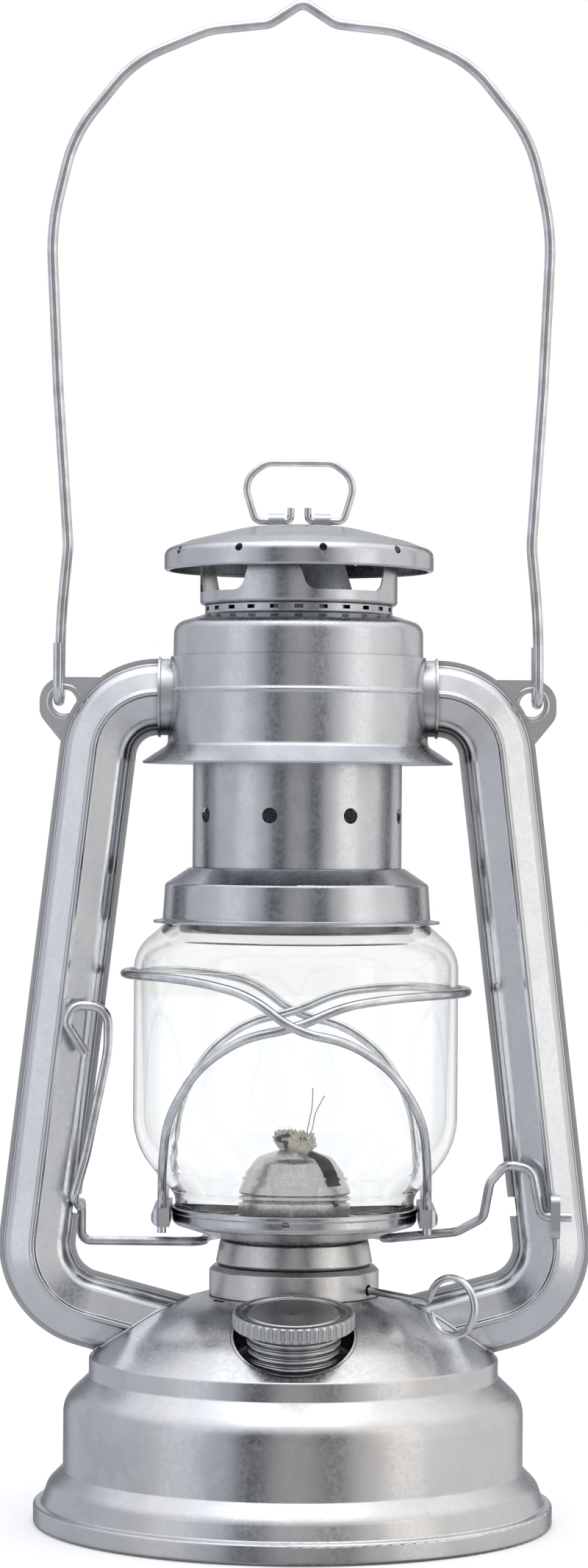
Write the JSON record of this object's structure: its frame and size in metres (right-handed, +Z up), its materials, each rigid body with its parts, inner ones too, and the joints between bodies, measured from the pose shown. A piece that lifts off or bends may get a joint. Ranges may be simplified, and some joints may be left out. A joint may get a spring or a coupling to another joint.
{
  "type": "barn lantern",
  "caption": "Tubular barn lantern: round fuel tank and burner, clear globe in a wire guard, side tubes feeding an air chamber, vented chimney cap and wire bail",
  "frame": {"origin": "centre of the tank's base, on the surface that it stands on", "axes": "+Z up, -Y towards the filler cap, +X to the right seen from the filler's side"},
  "size_m": [0.1526, 0.1338, 0.3935],
  "materials": {
    "galvanised_sheet": "satin tinned sheet",
    "burner_sheet": "satin tinned sheet, slightly warm",
    "galvanised_wire": "drawn zinc coated wire",
    "zinc_cap": "pressed zinc",
    "spring_wire": "spring steel",
    "clear_glass": "clear blown glass",
    "cotton_wick": "woven cotton tape",
    "seal_fibre": "fibre washer"
  },
  "bodies": {
    "lantern_body": {"tank_shell": "galvanised_sheet", "tank_bottom": "galvanised_sheet", "filler_neck": "galvanised_sheet", "burner_collar": "burner_sheet", "burner_drum": "burner_sheet", "burner_cone": "burner_sheet", "wick_tube": "burner_sheet", "left_tube_front": "galvanised_sheet", "left_tube_back": "galvanised_sheet", "right_tube_front": "galvanised_sheet", "right_tube_back": "galvanised_sheet", "left_tube_ferrule": "galvanised_sheet", "right_tube_ferrule": "galvanised_sheet", "bail_ear_left": "galvanised_sheet", "bail_ear_right": "galvanised_sheet", "air_chamber": "galvanised_sheet", "chamber_lid": "galvanised_sheet", "chimney_spring": "spring_wire", "lever_lug": "galvanised_sheet"},
    "bail": {"bail": "galvanised_wire"},
    "lift_lever": {"lift_lever": "galvanised_wire"},
    "globe_carrier": {"globe_plate": "galvanised_sheet", "air_plate": "burner_sheet", "guard_ear_left": "galvanised_sheet", "guard_ear_right": "galvanised_sheet", "guard_wire_a": "galvanised_wire", "guard_wire_b": "galvanised_wire", "globe": "clear_glass"},
    "chimney": {"chimney_hood": "galvanised_sheet", "chimney_tube": "galvanised_sheet", "flue": "galvanised_sheet", "fret_collar": "galvanised_sheet", "chimney_cap": "galvanised_sheet", "ring_saddle_left": "galvanised_sheet", "ring_saddle_right": "galvanised_sheet"},
    "lift_ring": {"lift_ring": "galvanised_wire"},
    "cap_seal": {"filler_gasket": "seal_fibre"},
    "filler_cap": {"filler_cap": "zinc_cap"},
    "wick_shaft": {"wick_shaft": "galvanised_wire", "star_wheels": "spring_wire"},
    "wick": {"wick": "cotton_wick"}
  },
  "joints": [
    {"name": "bail_swing", "type": "hinge", "parent": "lantern_body", "child": "bail", "pos_m": [0, 0, 0.2157], "axis": [1, 0, 0], "range_deg": [-110, 110]},
    {"name": "lever_turn", "type": "hinge", "parent": "lantern_body", "child": "lift_lever", "pos_m": [-0.0552, 0, 0.0815], "axis": [0.9953, -0.0964, -0.0123], "range_deg": [0, 25]},
    {"name": "globe_lift", "type": "slide", "parent": "lantern_body", "child": "globe_carrier", "axis": [0, 0, 1], "range_m": [0, 0.012], "deforming": ["chimney_spring"]},
    {"name": "chimney_lift", "type": "slide", "parent": "globe_carrier", "child": "chimney", "axis": [0, 0, 1], "range_m": [0, 0.012], "deforming": ["chimney_spring"]},
    {"name": "ring_fold", "type": "hinge", "parent": "chimney", "child": "lift_ring", "pos_m": [0, 0, 0.25835], "axis": [1, 0, 0], "range_deg": [-80, 80]},
    {"name": "cap_travel", "type": "slide", "parent": "lantern_body", "child": "cap_seal", "axis": [0, -0.1736, 0.9848], "range_m": [0, 0.0061]},
    {"name": "cap_turn", "type": "hinge", "parent": "cap_seal", "child": "filler_cap", "pos_m": [0, -0.0377, 0.0458], "axis": [0, -0.1736, 0.9848], "range_deg": [0, 1080]},
    {"name": "wick_turn", "type": "hinge", "parent": "lantern_body", "child": "wick_shaft", "pos_m": [0.00251, 0.00299, 0.0623], "axis": [0.7642, -0.6412, -0.0698], "range_deg": [-170, 85]},
    {"name": "wick_feed", "type": "slide", "parent": "lantern_body", "child": "wick", "axis": [0, 0, 1], "range_m": [-0.00445, 0.0089]}
  ],
  "couplings": [
    {"joint": "lever_turn", "follows": "globe_lift", "rad_per_m": 36.361},
    {"joint": "cap_travel", "follows": "cap_turn", "m_per_rad": 0.00031831},
    {"joint": "wick_turn", "follows": "wick_feed", "rad_per_m": -333.33}
  ]
}
